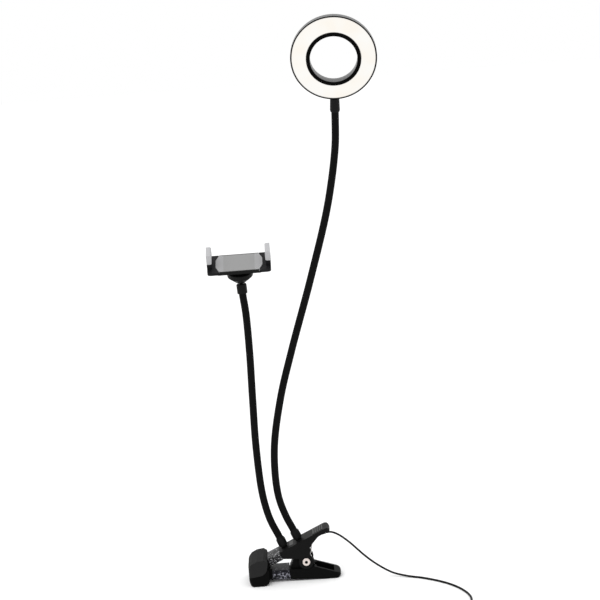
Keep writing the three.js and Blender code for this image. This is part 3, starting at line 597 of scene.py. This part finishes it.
def dress(obj, finish):
    """Give a CAD node its one finish."""
    obj.data.materials.clear()
    obj.data.materials.append(finish)
    shade(obj, CRISP)


for node, (finish, width) in FINISH.items():
    dress(NODES[node], finish)
    if width:
        bevel(NODES[node], width * MM)
for node, obj in NODES.items():
    if node.startswith("ring_screw") or "_core_" in node:
        dress(obj, STEEL)

ARM_START = (-28.1, 33.8)  # the low end of the upper arm's sloping top, from the pin's foot
ARM_SLOPE = 0.4584
RIBS = (8, 22)  # where the thumb ribs are along it
RIB_RISE = 0.12


def arm_top(x):
    """Height of the upper arm's sloping top, in millimetres, x millimetres from the pin."""
    return ARM_START[1] + (x - ARM_START[0]) * ARM_SLOPE


upper_arm = NODES["clamp_upper_arm"]
# faces on the raised ribs take the lighter finish: painted highlight
upper_arm.data.materials.append(RIB_HIGHLIGHT)
for polygon in upper_arm.data.polygons:
    place = (upper_arm.matrix_world @ polygon.center - PIN) / MM
    if RIBS[0] < place.x < RIBS[1] and place.z > arm_top(place.x) + RIB_RISE:
        polygon.material_index = 1


def solid_box(name, low, high, place, finish, body):
    """A box between two corners given in millimetres, set in place and riding on a body."""
    bm = bmesh.new()
    corners = [Vector(corner) * MM for corner in itertools.product(*zip(low, high))]
    verts = [bm.verts.new(place @ corner) for corner in corners]
    for face in ((0, 1, 3, 2), (4, 6, 7, 5), (0, 4, 5, 1), (2, 3, 7, 6), (0, 2, 6, 4), (1, 5, 7, 3)):
        bm.faces.new([verts[k] for k in face])
    bmesh.ops.recalc_face_normals(bm, faces=bm.faces)
    obj = link(name, bm, finish)
    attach(obj, body)


# a thin lighter box on the arm's sloping top: painted light in its recess
LIT_PATCH_X = -15.1
SLOPE = Matrix.Rotation(-math.atan(ARM_SLOPE), 4, "Y")
ON_TOP = Matrix.Translation(from_pin(LIT_PATCH_X, 0, arm_top(LIT_PATCH_X))) @ SLOPE
solid_box("arm_lit_patch", (-2.3, -7, 0.02), (2.3, 7, 0.25), ON_TOP, LIT_PATCH, "upper_jaw")

HOLDER_TILT = -66.8
BALL_DEPTH = 18
FROM_BALL = Matrix.Rotation(math.radians(HOLDER_TILT), 4, "X") @ Matrix.Translation((0, -BALL_DEPTH * MM, 0))
HOLDER_PLACE = Matrix.Translation(HINGE["holder_tilt"]) @ FROM_BALL
for name, low, high in (("upper", 13.75, 17.3), ("lower", -17.3, -13.75)):
    solid_box(f"holder_lip_{name}", (-22.8, 3.65, low), (22.8, 4.1, high), HOLDER_PLACE, BLACK, "holder")

# ---------------------------------------------------------------- floor and light
floor_mesh = bpy.data.meshes.new("floor")
REACH = 12
floor_corners = [(-REACH, -REACH, 0), (REACH, -REACH, 0), (REACH, REACH, 0), (-REACH, REACH, 0)]
floor_mesh.from_pydata(floor_corners, [], [(0, 1, 2, 3)])
floor = bpy.data.objects.new("floor", floor_mesh)
bpy.context.scene.collection.objects.link(floor)
floor_mesh.materials.append(FLOOR)

world = bpy.data.worlds.new("studio")
bpy.context.scene.world = world
world.use_nodes = True
world.node_tree.nodes["Background"].inputs["Color"].default_value = (1, 1, 1, 1)
world.node_tree.nodes["Background"].inputs["Strength"].default_value = 1.0
bpy.context.scene.view_settings.view_transform = "Standard"


def softbox(name, place, target, size, power):
    data = bpy.data.lights.new(name, "AREA")
    data.shape = "RECTANGLE"
    data.size, data.size_y = size
    data.energy = power
    obj = bpy.data.objects.new(name, data)
    bpy.context.scene.collection.objects.link(obj)
    facing = (Vector(place) - Vector(target)).to_track_quat("Z", "Y").to_matrix().to_4x4()
    obj.matrix_world = Matrix.Translation(place) @ facing
    return obj


softbox("key", (-1.2, -1.6, 2.2), (0, 0, 0.3), (1.6, 1.6), 12)
sky = bpy.data.objects.new("overhead", bpy.data.lights.new("overhead", "SUN"))
sky.data.energy = 0.7
sky.data.angle = math.radians(60)
sky.rotation_euler = Euler((math.radians(12), math.radians(-10), 0))
bpy.context.scene.collection.objects.link(sky)
